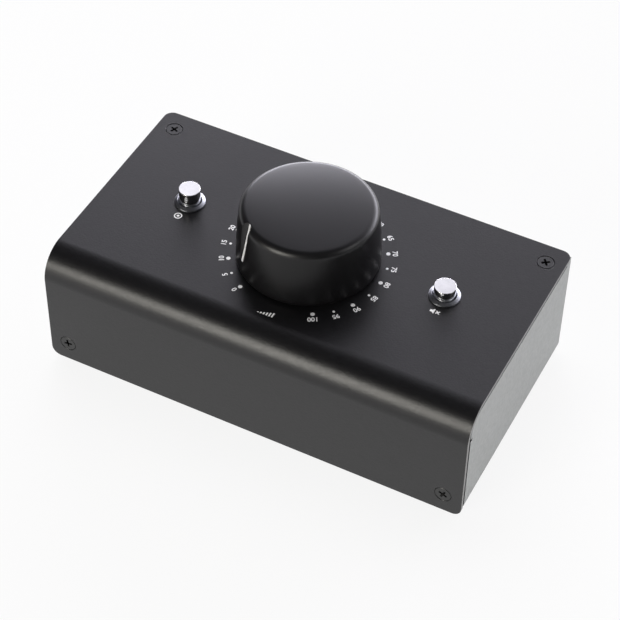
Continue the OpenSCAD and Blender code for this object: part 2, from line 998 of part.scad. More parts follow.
module input_housing(i)
{
    in_case()
        color("black")
            at_jack(i)
                difference() {
                    jack_body(input_deep);
                    rod_y(mouth_d, collar_y - mouth_deep, collar_y + cut);
                    input_holes();
                    for (p = PINS)
                        translate([p[0], 0, p[1]])
                            block(
                                [-tail_w / 2 - lead_gap, tail_y - tail_w / 2 - lead_gap, -jack_h],
                                [tail_w / 2 + lead_gap, tail_y + tail_w / 2 + lead_gap, 0]
                            );
                    block(
                        [-leaf_w / 2 - lead_gap, collar_y - plug_deep, 0],
                        [leaf_w / 2 + lead_gap, collar_y - mouth_deep + cut, plug_bore_d / 2 + leaf_slot_h]
                    );
                    jack_screw_holes();
                }
}

// Three socket contacts with their tails, and three leaves above the plug bore
module input_contacts(i)
{
    leaf_z = plug_bore_d / 2;
    in_case()
        color("gold")
            at_jack(i) {
                for (p = PINS)
                    translate([p[0], 0, p[1]]) {
                        difference() {
                            rod_y(pin_hole_d - 2 * lead_gap, tail_y - tail_w / 2, collar_y - mouth_deep);
                            rod_y(pin_d - 0.9, tail_y + tail_w, collar_y);
                        }
                        block(
                            [-tail_w / 2, tail_y - tail_w / 2, -jack_h / 2 - board_t - lead_down - p[1]],
                            [tail_w / 2, tail_y + tail_w / 2, 0]
                        );
                    }
                for (step = LEAF_STEPS)
                    translate([0, collar_y - plug_deep + step, 0]) {
                        block([-leaf_w / 2, -leaf_t, leaf_z], [leaf_w / 2, 0, leaf_z + leaf_slot_h]);
                        block([-leaf_w / 2, -leaf_t, leaf_z], [leaf_w / 2, leaf_w, leaf_z + leaf_t]);
                    }
            }
}

module output_housing(i)
{
    in_case()
        color("black")
            at_jack(i) {
                difference() {
                    jack_body(output_deep);
                    rod_y(mouth_d, collar_y - mouth_deep, collar_y + cut);
                    for (p = PINS)
                        translate([p[0], 0, p[1]])
                            rod_y(pin_d, pin_foot_y - cut, collar_y);
                    jack_screw_holes();
                }
                intersection() {
                    block(
                        [-key_w / 2, collar_y - mouth_deep - join, mouth_d / 2 - key_h],
                        [key_w / 2, collar_y - pin_recess, mouth_d / 2 + join]
                    );
                    rod_y(collar_d, collar_y - mouth_deep - join, collar_y);
                }
            }
}

// Three pins, and the tails that meet their rear faces
module output_pins(i)
{
    in_case()
        color("gold")
            at_jack(i)
                for (p = PINS)
                    translate([p[0], 0, p[1]]) {
                        rod_y(pin_d, pin_foot_y, collar_y - pin_recess - pin_d / 4);
                        translate([0, collar_y - pin_recess - pin_d / 4, 0])
                            rotate([-90, 0, 0])
                                cylinder(d1 = pin_d, d2 = pin_d / 2, h = pin_d / 4);
                        block(
                            [-tail_w / 2, pin_foot_y - 1.5 * tail_w, -tail_w / 2],
                            [tail_w / 2, pin_foot_y, tail_w / 2]
                        );
                        block(
                            [
                                -tail_w / 2,
                                pin_foot_y - 1.5 * tail_w,
                                -jack_h / 2 - board_t - lead_down - p[1]
                            ],
                            [tail_w / 2, pin_foot_y - tail_w / 2, tail_w / 2]
                        );
                    }
}

module connector_screws()
{
    in_case()
        color("black")
            for (i = [0:3])
                at_jack(i)
                    at_jack_screws()
                        translate([0, rear_y, 0])
                            rotate([-90, 0, 0])
                                rotate([0, 0, 20 * i])
                                    pan_screw(jack_screw_len);
}

module at_rivets()
{
    for (x = [-rivet_out, rivet_out], y = [-rivet_out, rivet_out])
        translate([x, y, 0])
            children();
}

module rivet_holes()
{
    at_rivets()
        rod(rivet_d + 2 * lead_gap, back_z - cut, under_z + cut);
}

// Mounting plate with its threaded bushing and locating lug
module pot_bushing()
{
    in_case()
        color("silver")
            difference() {
                union() {
                    post(plate_w, plate_z, under_z);
                    rod(bushing_d, plate_z, panel_z + bushing_up);
                    translate([0, lug_out, 0])
                        block(
                            [-lug_w / 2, -lug_t / 2, plate_z],
                            [lug_w / 2, lug_t / 2, panel_z - sheet_t / 3]
                        );
                }
                rod(shaft_d + 2 * shaft_fit, plate_z - cut, panel_z + bushing_up + cut);
                rivet_holes();
            }
}

// The gangs are numbered from the bottom of the stack
module pot_gang(k)
{
    low_z = gangs_z + (k - 1) * gang_h;
    in_case()
        color("saddlebrown")
            difference() {
                post(gang_w, low_z, low_z + gang_h);
                rod(gang_hollow_d, low_z + gang_floor, low_z + gang_h + cut);
                rod(shaft_d + 2 * gang_gap, low_z - cut, low_z + gang_h);
                rivet_holes();
            }
}

module pot_back_plate()
{
    in_case()
        color("silver")
            difference() {
                post(gang_w, back_z, gangs_z);
                rivet_holes();
            }
}

module pot_rivets()
{
    in_case()
        color("silver")
            at_rivets()
                rod(rivet_d, back_z, under_z);
}

// Each gang's three terminals run forward and down through the control board
module pot_terminals()
{
    in_case()
        color("silver")
            for (gang = [1:gang_count])
                at_pot_terminals(gang)
                    translate([-terminal_w / 2, -terminal_t / 2, 0]) {
                        z = gangs_z + (gang - 0.5) * gang_h;
                        block([0, 0, control_z - lead_down], [terminal_w, terminal_t, z]);
                        block(
                            [0, 0, z - terminal_t],
                            [terminal_w, gang * terminal_step + terminal_t / 2, z]
                        );
                    }
}

module pot_washer()
{
    in_case()
        color("silver")
            difference() {
                rod(washer_d, panel_z, panel_z + washer_t);
                rod(bushing_d + 2 * bushing_gap, panel_z - cut, panel_z + washer_t + cut);
            }
}

module pot_nut()
{
    low_z = panel_z + washer_t;
    in_case()
        color("silver")
            difference() {
                translate([0, 0, low_z])
                    cylinder(d = shaft_nut_af / cos(30), h = shaft_nut_h, $fn = 6);
                rod(bushing_d + 2 * shaft_fit, low_z - cut, low_z + shaft_nut_h + cut);
            }
}

// Cut that leaves the flat for the set screw
module flat_cut(gap, z0, z1)
{
    rotate([0, 0, set_turn])
        block([shaft_d / 2 - shaft_flat + gap, -shaft_d, z0], [shaft_d, shaft_d, z1]);
}

module pot_shaft()
{
    top_z = panel_z + shaft_up;
    in_case()
        color("silver")
            difference() {
                rod(shaft_d, shaft_foot_z, top_z);
                flat_cut(0, top_z - shaft_flat_len, top_z + cut);
            }
}

// One wiper disc for each gang, with two sprung fingers on its lower face
module pot_wipers()
{
    in_case()
        color("goldenrod")
            for (k = [1:gang_count])
                translate([0, 0, gangs_z + (k - 1) * gang_h + gang_floor + 0.9]) {
                    difference() {
                        cylinder(d = rotor_d, h = rotor_t);
                        rod(shaft_d + 2 * hub_fit, -cut, rotor_t + cut);
                    }
                    for (y = [rotor_d / 4 + 1, rotor_d / 4 + 2.2])
                        translate([-1.5, y, -0.5])
                            cube([3, 0.6, 0.5 + join]);
                }
}

// Where two circles meet, on the side away from the axis
function circles_meet(mid_a, r_a, mid_b, r_b) =
    let (
        apart = norm(mid_b - mid_a),
        dir = (mid_b - mid_a) / apart,
        along = (r_a * r_a - r_b * r_b + apart * apart) / (2 * apart)
    )
    mid_a + along * dir + sqrt(r_a * r_a - along * along) * [dir.y, -dir.x];

// Half section of the knob's outside: bowed side, domed top and a rounded edge tangent to both
module knob_section()
{
    side_dir = (edge_mid - side_mid) / norm(edge_mid - side_mid);
    dome_dir = (edge_mid - dome_mid) / norm(edge_mid - dome_mid);
    reach = 2 * knob_edge_r;
    difference() {
        intersection() {
            square([knob_base_r, knob_h]);
            translate(side_mid)
                circle(r = side_r, $fn = wide_sides);
            translate(dome_mid)
                circle(r = dome_r, $fn = wide_sides);
        }
        polygon([
            edge_mid,
            edge_mid + reach * side_dir,
            edge_mid + reach * (side_dir + dome_dir),
            edge_mid + reach * dome_dir
        ]);
        polygon([
            [knob_base_r - knob_chamfer - cut, -cut],
            [knob_base_r + cut, -cut],
            [knob_base_r + cut, knob_chamfer + cut]
        ]);
    }
    translate(edge_mid)
        circle(r = knob_edge_r + edge_lap);
}

// The groove's floor leans inwards towards the top, so that it runs out at its lower end
module pointer_groove()
{
    lean = (floor_low_r - floor_high_r) / (knob_h - pointer_from);
    rotate([0, 0, pointer_turn])
        along_y(-pointer_w / 2, pointer_w / 2)
            polygon([
                [floor_low_r + lean * 2, pointer_from - 2],
                [knob_base_r + 2, pointer_from - 2],
                [knob_base_r + 2, knob_h + 2],
                [floor_high_r - lean * 2, knob_h + 2]
            ]);
}

module knob_shell()
{
    in_case()
        translate([0, 0, knob_z])
            color("#1c1c1e")
                difference() {
                    rotate_extrude($fn = 96)
                        knob_section();
                    rod(knob_hollow_d, -cut, hub_top);
                    pointer_groove();
                    rotate([0, 0, set_turn - 90])
                        translate([0, 0, set_screw_up])
                            rod_y(set_screw_d + 0.5, 0, knob_base_d);
                }
}

// The inlay lies on the groove's floor and thins out towards its lower end
module knob_pointer()
{
    lean = (floor_low_r - floor_high_r) / (knob_h - pointer_from);
    low = pointer_from + inlay_t;
    ramp = low + 10 * inlay_t;
    top = knob_h - pointer_to;
    in_case()
        translate([0, 0, knob_z])
            color("white")
                rotate([0, 0, pointer_turn])
                    along_y(-pointer_w / 2, pointer_w / 2)
                        polygon([
                            [floor_low_r - lean * (low - pointer_from), low],
                            [floor_low_r - lean * (ramp - pointer_from) + inlay_t, ramp],
                            [floor_high_r + lean * pointer_to + inlay_t, top],
                            [floor_high_r + lean * pointer_to, top]
                        ]);
}

module knob_hub()
{
    in_case()
        translate([0, 0, knob_z])
            color("dimgray")
                difference() {
                    union() {
                        rod(knob_hollow_d - 2 * hub_fit, hub_top - hub_disc_t, hub_top);
                        rod(hub_d, hub_foot, hub_top);
                        for (a = [30:60:330])
                            rotate([0, 0, set_turn + a])
                                block(
                                    [0, -hub_rib_t / 2, hub_foot + 2],
                                    [knob_hollow_d / 2 - 1, hub_rib_t / 2, hub_top]
                                );
                    }
                    difference() {
                        rod(shaft_d + 2 * hub_fit, hub_foot - cut, shaft_up - knob_gap + 0.3);
                        flat_cut(hub_fit, flat_from, knob_h);
                    }
                    rotate([0, 0, set_turn - 90])
                        translate([0, 0, set_screw_up])
                            rod_y(set_screw_d, 0, hub_d);
                }
}

module knob_set_screw()
{
    in_case()
        translate([0, 0, knob_z + set_screw_up])
            color("black")
                rotate([0, 0, set_turn - 90])
                    translate([0, shaft_d / 2 - shaft_flat, 0])
                        difference() {
                            rod_y(set_screw_d, 0, set_len);
                            translate([0, set_len + cut, 0])
                                rotate([90, 0, 0])
                                    cylinder(d = set_socket_af / cos(30), h = 2 + cut, $fn = 6);
                        }
}

// Half section of a bezel ring and its barrel, with the panel at z = 0
module bezel_section()
{
    ring_w = bezel_d / 2 - bezel_bore_r;
    translate([bezel_bore_r, -sheet_t - barrel_down])
        square([barrel_t, sheet_t + barrel_down]);
    difference() {
        translate([bezel_bore_r, 0])
            square([ring_w, bezel_h]);
        translate([bezel_d / 2, bezel_h])
            corner_waste(bezel_edge_r);
        translate([bezel_bore_r, bezel_h])
            mirror([1, 0])
                corner_waste(bezel_edge_r);
    }
}

module bezel(s)
{
    in_case()
        at_button(s)
            color("lightgray")
                translate([0, 0, panel_z])
                    rotate_extrude()
                        bezel_section();
}

module cap(s, drop)
{
    in_case()
        at_button(s)
            color("gainsboro")
                translate([0, 0, cap_foot_z - drop])
                    difference() {
                        rotate_extrude()
                            difference() {
                                square([cap_d / 2, cap_len]);
                                translate([cap_d / 2, cap_len])
                                    corner_waste(cap_edge_r);
                            }
                        post(post_w + slide_fit, -cut, post_deep + slide_fit);
                    }
}

module plunger(s, drop)
{
    in_case()
        at_button(s)
            color("white")
                translate([0, 0, -drop]) {
                    post(slide_w, slide_top_z - slide_h, slide_top_z);
                    post(post_w, slide_top_z - join, cap_foot_z + post_deep);
                    rod(spring_d - 2 * wire_d - 0.6, slide_top_z - slide_h - 1.2, slide_top_z - join);
                }
}

module switch_case(s)
{
    in_case()
        at_button(s)
            color("ivory")
                difference() {
                    post(switch_w, back_z, back_z + switch_h);
                    post(slide_w + 2 * slide_fit, chamber_low_z, chamber_high_z);
                    post(post_w + 4 * slide_fit, chamber_low_z, back_z + switch_h + cut);
                    translate([0, -switch_w / 2, 0])
                        block(
                            [-latch_d, -cut, chamber_low_z + 1],
                            [latch_d, switch_w / 2, chamber_low_z + 1 + latch_slot_h]
                        );
                }
}

// The pin that follows the plunger's heart cam hangs in the slot of the case
module latch_pin(s)
{
    in_case()
        at_button(s)
            color("silver")
                translate([0, -switch_w / 2 + latch_d, 0])
                    rod(latch_d, chamber_low_z + 1, chamber_low_z + latch_slot_h);
}

module terminals(s)
{
    in_case()
        at_button(s)
            color("silver")
                at_switch_pins()
                    rod(lead_d, control_z - lead_down, back_z);
}

// Ring of points round one place on a spring's wire
function wire_ring(turn, sides, pitch) =
    let (a = 360 * turn)
    [
        for (k = [0:sides - 1])
            let (b = 360 * k / sides, r = spring_d / 2 + wire_d / 2 * cos(b))
            [r * cos(a), r * sin(a), pitch * turn + wire_d / 2 * sin(b)]
    ];

// Two triangles for each face between neighbouring rings, then the two ends
function wire_faces(rings, sides) =
    concat(
        [
            for (i = [0:rings - 2], k = [0:sides - 1], half = [0, 1])
                let (a = i * sides + k, b = i * sides + (k + 1) % sides)
                half == 0 ? [a, b, b + sides] : [a, b + sides, a + sides]
        ],
        [for (k = [1:sides - 2]) [0, k + 1, k]],
        [for (k = [1:sides - 2]) (rings - 1) * sides * [1, 1, 1] + [0, k, k + 1]]
    );

module spring(s, drop)
{
    sides = 6;
    per_turn = 8;
    low_z = chamber_low_z + spring_gap;
    high_z = slide_top_z - slide_h - drop - spring_gap;
    pitch = (high_z - low_z - wire_d) / spring_turns;
    rings = spring_turns * per_turn + 1;
    echo(spring_gap_between_turns = pitch - wire_d);
    in_case()
        at_button(s)
            color("silver")
                translate([0, 0, low_z + wire_d / 2])
                    polyhedron(
                        [for (i = [0:rings - 1]) each wire_ring(i / per_turn, sides, pitch)],
                        wire_faces(rings, sides)
                    );
}

base_chassis();
top_cover();
cover_screws();
clinch_nuts();
rubber_feet();
connector_board();
board_standoffs();
board_screws();
control_board();
resistors();
ribbon_cable();
ribbon_headers();
input_housing(0);  // left_input_housing
input_housing(1);  // right_input_housing
input_core(0);  // left_input_core
input_core(1);  // right_input_core
input_contacts(0);  // left_input_contacts
input_contacts(1);  // right_input_contacts
output_housing(2);  // left_output_housing
output_housing(3);  // right_output_housing
output_pins(2);  // left_output_pins
output_pins(3);  // right_output_pins
connector_screws();
pot_bushing();
pot_gang(1);  // pot_gang_1
pot_gang(2);  // pot_gang_2
pot_gang(3);  // pot_gang_3
pot_gang(4);  // pot_gang_4
pot_back_plate();
pot_rivets();
pot_terminals();
pot_washer();
pot_nut();
pot_shaft();
pot_wipers();
knob_shell();
knob_hub();
knob_pointer();
knob_set_screw();
bezel(-1);  // mono_bezel
cap(-1, 0);  // mono_cap
plunger(-1, 0);  // mono_plunger
spring(-1, 0);  // mono_spring
switch_case(-1);  // mono_switch_case
latch_pin(-1);  // mono_latch_pin
terminals(-1);  // mono_terminals
bezel(1);  // mute_bezel
cap(1, latch_drop);  // mute_cap
plunger(1, latch_drop);  // mute_plunger
spring(1, latch_drop);  // mute_spring
switch_case(1);  // mute_switch_case
latch_pin(1);  // mute_latch_pin
terminals(1);  // mute_terminals
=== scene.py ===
"""Looks of the studio monitor controller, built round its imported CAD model.

Everything is in metres in the model's own frame: +Z up, -Y the front, +X to the right.
"""
from math import asin, atan2, cos, degrees, pi, radians, sin

import bmesh
import bpy
from mathutils import Euler, Matrix, Vector


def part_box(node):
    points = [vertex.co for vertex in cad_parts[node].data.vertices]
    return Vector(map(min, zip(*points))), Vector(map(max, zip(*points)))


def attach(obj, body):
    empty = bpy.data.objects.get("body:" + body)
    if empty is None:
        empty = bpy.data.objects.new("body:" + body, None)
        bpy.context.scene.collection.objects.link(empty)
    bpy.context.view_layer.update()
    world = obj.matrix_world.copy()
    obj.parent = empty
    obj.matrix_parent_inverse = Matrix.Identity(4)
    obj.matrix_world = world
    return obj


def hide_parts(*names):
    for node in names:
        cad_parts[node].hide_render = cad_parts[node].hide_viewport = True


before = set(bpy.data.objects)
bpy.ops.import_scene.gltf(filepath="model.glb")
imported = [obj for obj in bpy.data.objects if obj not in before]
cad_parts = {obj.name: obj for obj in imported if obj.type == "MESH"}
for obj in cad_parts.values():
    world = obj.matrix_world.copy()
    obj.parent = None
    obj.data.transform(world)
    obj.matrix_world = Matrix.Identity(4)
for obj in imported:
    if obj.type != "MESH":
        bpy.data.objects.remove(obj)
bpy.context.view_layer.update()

MM = 0.001

# ---------------------------------------------------------------- places taken from the CAD model


def middle_of(node):
    low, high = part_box(node)
    return (low + high) / 2


cover_low, cover_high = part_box("top_cover")
knob_low, knob_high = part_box("knob_shell")
PANEL_Z = cover_high.z
FRONT_Y = cover_low.y
REAR_Y = cover_high.y
EDGE_X = cover_high.x
CASE_Z = cover_low.z
CHASSIS_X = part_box("base_chassis")[1].x
AXIS_Y = middle_of("pot_shaft").y

# ---------------------------------------------------------------- mesh tools

OVER = 1 * MM  # how far a cutter reaches past the face that it opens


def add_object(name, data):
    obj = bpy.data.objects.new(name, data)
    bpy.context.scene.collection.objects.link(obj)
    return obj


def mesh_object(name, bm):
    mesh = bpy.data.meshes.new(name)
    bm.to_mesh(mesh)
    bm.free()
    return add_object(name, mesh)


def new_object(name, bm):
    """An object whose faces all look outwards."""
    bmesh.ops.recalc_face_normals(bm, faces=bm.faces)
    return mesh_object(name, bm)


def smooth(obj, angle=32):
    """Smooth shading that keeps edges sharper than angle, in degrees."""
    obj.data.shade_smooth()
    obj.data.set_sharp_from_angle(angle=radians(angle))
    return obj


def settle(obj):
    """Turns an object's modifiers into mesh."""
    bpy.context.view_layer.update()
    graph = bpy.context.evaluated_depsgraph_get()
    old = obj.data
    obj.data = bpy.data.meshes.new_from_object(obj.evaluated_get(graph))
    obj.modifiers.clear()
    bpy.data.meshes.remove(old)
    return obj


def discard(obj):
    mesh = obj.data
    bpy.data.objects.remove(obj)
    bpy.data.meshes.remove(mesh)


def cut(obj, *cutters):
    """Takes the cutters away from obj and deletes them."""
    for cutter in cutters:
        modifier = obj.modifiers.new("cut", "BOOLEAN")
        modifier.operation = "DIFFERENCE"
        modifier.solver = "EXACT"
        modifier.object = cutter
        settle(obj)
        discard(cutter)
    return obj


def bevel(obj, width, angle=40):
    """Rounds the edges that are sharper than angle, in degrees."""
    modifier = obj.modifiers.new("bevel", "BEVEL")
    modifier.width = width
    modifier.segments = 2
    modifier.limit_method = "ANGLE"
    modifier.angle_limit = radians(angle)
    return settle(obj)


def level_normals(obj):
    """Lets large faces set the normals, so that flat sheet stays flat beside its rounded edges."""
    modifier = obj.modifiers.new("normals", "WEIGHTED_NORMAL")
    modifier.mode = "FACE_AREA"
    modifier.weight = 100
    modifier.keep_sharp = True
    return settle(obj)


def arc(x, y, r, start, end, steps):
    """Points of a circular arc, with its angles in degrees."""
    turns = [radians(start + (end - start) * i / steps) for i in range(steps + 1)]
    return [(x + r * cos(t), y + r * sin(t)) for t in turns]


def circle(x, y, r, steps=24):
    turns = [2 * pi * i / steps for i in range(steps)]
    return [(x + r * cos(t), y + r * sin(t)) for t in turns]


def lathe(name, outline, steps=96):
    """Turns an outline of (radius, height) round the Z axis.

    The outline is closed, or runs from axis to axis.
    """
    bm = bmesh.new()
    rings = []
    for r, z in outline:
        points = [(0, 0)] if r == 0 else circle(0, 0, r, steps)
        rings.append([bm.verts.new((x, y, z)) for x, y in points])
    following = rings[1:] if outline[0][0] == 0 else rings[1:] + rings[:1]
    for low, high in zip(rings, following):
        for i in range(steps):
            j = (i + 1) % steps
            low_a, low_b = low[i % len(low)], low[j % len(low)]
            high_a, high_b = high[i % len(high)], high[j % len(high)]
            corners = list(dict.fromkeys([low_a, low_b, high_b, high_a]))
            if len(corners) > 2:
                bm.faces.new(corners)
    return new_object(name, bm)


def prism(name, outline, low, high, axis="Z"):
    """Extrudes a closed outline from low to high along an axis.

    The outline is in (Y, Z) for X, in (X, Z) for Y and in (X, Y) for Z.
    """
    place = {
        "X": lambda a, b, h: (h, a, b),
        "Y": lambda a, b, h: (a, h, b),
        "Z": lambda a, b, h: (a, b, h),
    }[axis]
    bm = bmesh.new()
    ends = [[bm.verts.new(place(a, b, h)) for a, b in outline] for h in (low, high)]
    for end in ends:
        bm.faces.new(end)
    for i in range(len(outline)):
        j = (i + 1) % len(outline)
        bm.faces.new([ends[0][i], ends[0][j], ends[1][j], ends[1][i]])
    return new_object(name, bm)


def loft(name, rings):
    """Joins equally long rings of points with faces and closes both ends."""
    bm = bmesh.new()
    rings = [[bm.verts.new(p) for p in ring] for ring in rings]
    bm.faces.new(rings[0])
    bm.faces.new(rings[-1])
    for low, high in zip(rings, rings[1:]):
        for i in range(len(low)):
            j = (i + 1) % len(low)
            bm.faces.new([low[i], low[j], high[j], high[i]])
    return new_object(name, bm)


def move(obj, place, turn=(0, 0, 0)):
    """Bakes a turn, then a shift, into an object's mesh."""
    obj.data.transform(Matrix.Translation(place) @ Euler(turn).to_matrix().to_4x4())
    return obj


def join(name, objects):
    """One object from several."""
    bm = bmesh.new()
    for obj in objects:
        bm.from_mesh(obj.data)
        discard(obj)
    return mesh_object(name, bm)


def softened(name, node, width, *cutters):
    """A copy of a CAD node's mesh, less the cutters, with its sharp edges rounded."""
    bm = bmesh.new()
    bm.from_mesh(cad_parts[node].data)
    bmesh.ops.remove_doubles(bm, verts=bm.verts, dist=1e-7)
    bmesh.ops.dissolve_limit(bm, angle_limit=radians(0.5), verts=bm.verts, edges=bm.edges)
    return level_normals(smooth(bevel(cut(new_object(name, bm), *cutters), width)))


# ---------------------------------------------------------------- material tools


class Nodes:
    """A node tree with short ways to add to it."""

    def __init__(self, tree):
        self.tree = tree

    def feed(self, socket, value):
        """Links a socket to another one, or gives it a plain value."""
        if isinstance(value, bpy.types.NodeSocket):
            self.tree.links.new(value, socket)
        else:
            socket.default_value = value

    def node(self, kind, inputs=None, **properties):
        made = self.tree.nodes.new("ShaderNode" + kind)
        for key, value in properties.items():
            setattr(made, key, value)
        for key, value in (inputs or {}).items():
            self.feed(made.inputs[key], value)
        return made

    def maths(self, operation, first, second=0.0):
        return self.node("Math", {0: first, 1: second}, operation=operation).outputs[0]

    def split(self, vector):
        """The X, Y and Z of a vector."""
        return self.node("SeparateXYZ", {0: vector}).outputs

    def ramp(self, value, start, end, low, high, kind="LINEAR"):
        """Maps a value from the range start to end onto the range low to high."""
        inputs = {"Value": value, "From Min": start, "From Max": end, "To Min": low, "To Max": high}
        return self.node("MapRange", inputs, interpolation_type=kind).outputs["Result"]

    def fade(self, value, start, end, low, high):
        """A ramp with soft ends."""
        return self.ramp(value, start, end, low, high, "SMOOTHSTEP")


class Look(Nodes):
    """A procedural material, with its principled shader at hand."""

    def __init__(self, name):
        self.material = bpy.data.materials.new(name)
        self.material.use_nodes = True
        super().__init__(self.material.node_tree)
        self.shader = self.tree.nodes["Principled BSDF"]
        self.place = self.node("TexCoord").outputs["Object"]

    def set(self, **values):
        """Feeds sockets of the shader, whose names are written here with _ for a space."""
        for key, value in values.items():
            self.feed(self.shader.inputs[key.replace("_", " ")], value)

    def noise(self, size, detail=3.0):
        """Noise whose features are about size metres wide."""
        inputs = {"Vector": self.place, "Scale": 1 / size, "Detail": detail}
        return self.node("TexNoise", inputs).outputs["Fac"]

    def spread(self, noise, low=0, high=1):
        """Maps the range that noise mostly keeps to onto the range low to high."""
        return self.ramp(noise, 0.3, 0.7, low, high)

    def blend(self, amount, first, second):
        """Colour between first and second."""
        mix = self.node("Mix", data_type="RGBA")
        sockets = mix.inputs[0], mix.inputs[6], mix.inputs[7]
        for socket, value in zip(sockets, (amount, first, second)):
            self.feed(socket, (*value, 1) if isinstance(value, tuple) else value)
        return mix.outputs[2]

    def bump(self, height, strength, depth):
        inputs = {"Height": height, "Strength": strength, "Distance": depth}
        self.set(Normal=self.node("Bump", inputs).outputs["Normal"])


def shade(value):
    return (value, value, value)


def tinted(colour, factor):
    return tuple(c * factor for c in colour)


def powder_coat(name, colour, roughness, mottling, edge=None, gap_shade=None):
    """Sprayed and baked paint: fine orange peel with a little mottling.

    edge is a colour for the bare cut edges of the cover's two sides. The last argument is painted
    shade: a near-black colour for the faces in the narrow gap between the cover and the chassis
    sides, where shadow falls.
    """
    look = Look(name)
    mottle, grain = look.noise(1.4 * MM, 3), look.noise(0.6 * MM, 2)
    dark, pale = tinted(colour, 1 - mottling), tinted(colour, 1 + mottling)
    paint = look.blend(look.spread(mottle), dark, pale)
    x, y, z = look.split(look.place)
    across = look.maths("ABSOLUTE", x)
    if edge:
        bare = look.maths("GREATER_THAN", across, EDGE_X - BARE_EDGE)
        worn = look.maths("MULTIPLY", bare, look.spread(look.noise(1.2 * MM), 0.55, 1))
        paint = look.blend(worn, paint, edge)
    # Painted shade: faces in the gap between the cover and the chassis sides are coloured near
    # black where shadow falls.
    if gap_shade:
        depth = look.maths("SUBTRACT", CHASSIS_X, across)
        painted_gap = look.maths("GREATER_THAN", depth, SEAM_SHADE[0])
        for value, test, limit in (
            (depth, "LESS_THAN", SEAM_SHADE[1]),
            (y, "LESS_THAN", SEAM_END_Y),
            (z, "GREATER_THAN", SEAM_END_Z),
        ):
            painted_gap = look.maths("MULTIPLY", painted_gap, look.maths(test, value, limit))
        paint = look.blend(painted_gap, paint, gap_shade)
    look.set(Base_Color=paint, Roughness=look.spread(grain, roughness - 0.05, roughness + 0.05))
    look.bump(grain, 0.4, 0.06 * MM)
    return look.material


def moulded(name, colour, roughness, grain=0.3 * MM, strength=0.08, handled=False):
    """Moulded plastic or rubber with a fine satin texture.

    A handled piece is duller on its upright faces, where fingers hold it.
    """
    look = Look(name)
    cloud, skin = look.noise(7 * MM), look.noise(grain, 2)
    paint = look.blend(look.spread(cloud), tinted(colour, 0.9), tinted(colour, 1.1))
    look.set(Base_Color=paint, Roughness=look.spread(skin, roughness - 0.04, roughness + 0.06))
    look.bump(skin, strength, 0.04 * MM)
    if handled:
        facing_up = look.split(look.node("TexCoord").outputs["Normal"])["Z"]
        look.set(Specular_IOR_Level=look.ramp(facing_up, 0.1, 0.6, 0.3, 0.5))
    return look.material


def metal(name, colour, roughness, strength=0.05):
    """Plated or turned metal with fine marks."""
    look = Look(name)
    tarnish, marks = look.noise(2.5 * MM, 4), look.noise(0.25 * MM, 3)
    paint = look.blend(look.spread(tarnish), tinted(colour, 0.9), colour)
    worn = look.spread(marks, roughness * 0.75, roughness * 1.3)
    look.set(Base_Color=paint, Metallic=1.0, Roughness=worn)
    look.bump(marks, strength, 0.02 * MM)
    return look.material


def dress(material, *nodes):
    """Gives a material to CAD nodes that are shown as they are."""
    for node in nodes:
        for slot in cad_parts[node].material_slots:
            slot.link = "OBJECT"
            slot.material = material


def finish_piece(obj, material, body, slot, *nodes):
    """Gives a new piece its material and body, and the CAD nodes that it stands for."""
    obj.data.materials.clear()
    obj.data.materials.append(material)
    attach(obj, body)
    if nodes:
        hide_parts(*nodes)


# ---------------------------------------------------------------- case

SHEET = 1.2 * MM
BEND_R = 9.6 * MM
BEND_STEPS = 28
BEND_MIDDLE = (FRONT_Y + BEND_R, PANEL_Z - BEND_R)
CORNER_R = 3 * MM
BEZEL_HOLE_R = 4.33 * MM
BUSHING_HOLE_R = 4.65 * MM

# The gap between the cover and the chassis sides: where it ends, its width and depth, and how far
# its cutter reaches out of the sides
SEAM_END_Y = REAR_Y - 2.8 * MM
SEAM_END_Z = CASE_Z + 2.3 * MM
SEAM_W = 1.9 * MM
SEAM_DEEP = 0.9 * MM
SEAM_OVER = 0.3 * MM
# Painted shade: the gap's faces between these depths are coloured near black where shadow falls.
SEAM_SHADE = (0.01 * MM, 3 * MM)  # the depths in the sides between which the gap looks dark
BARE_EDGE = 0.06 * MM  # how far in from the cover's two side edges its sheet is bare

# The cover's screws: where they sit, how they are turned and how far each is twisted in degrees
PANEL_SCREWS = [((x * MM, REAR_Y - 7.1 * MM, PANEL_Z), (0, 0, 0)) for x in (-64, 64)]
FRONT_SCREWS = [((x * MM, FRONT_Y, CASE_Z + 6.9 * MM), (pi / 2, 0, 0)) for x in (-63.9, 63.9)]
COVER_SCREWS = PANEL_SCREWS + FRONT_SCREWS
SCREW_TWISTS = (-20, 35, 10, 65)

# Half sections of a screw and of the sink for its head, as (radius, height) in millimetres
SCREW_SECTION = (
    (0, -6), (1.45, -6), (1.45, -1.05), (2.44, -0.16), (2.55, -0.1), (2.47, -0.04), (0, -0.04),
)
SINK_SECTION = ((0, -2), (1.65, -2), (1.65, -1.2), (2.8, 0), (2.8, 1), (0, 1))
CROSS_ARM = 1.5 * MM
CROSS_HALF_W = 0.36 * MM
CROSS_DEEP = 1.1 * MM


def scaled(points):
    """Turns points given in millimetres into metres."""
    return [(a * MM, b * MM) for a, b in points]


def corner_waste(x, y, sx, sy):
    """Outline of what rounding takes from the corner at (x, y), which points towards (sx, sy)."""
    quarter = arc(0, 0, CORNER_R, 0, 90, 10)
    mid_x, mid_y = x - sx * CORNER_R, y - sy * CORNER_R
    rounded = [(mid_x + sx * a, mid_y + sy * b) for a, b in quarter]
    out_x, out_y = x + sx * OVER, y + sy * OVER
    return [(out_x, mid_y), *rounded, (mid_x, out_y), (out_x, out_y)]


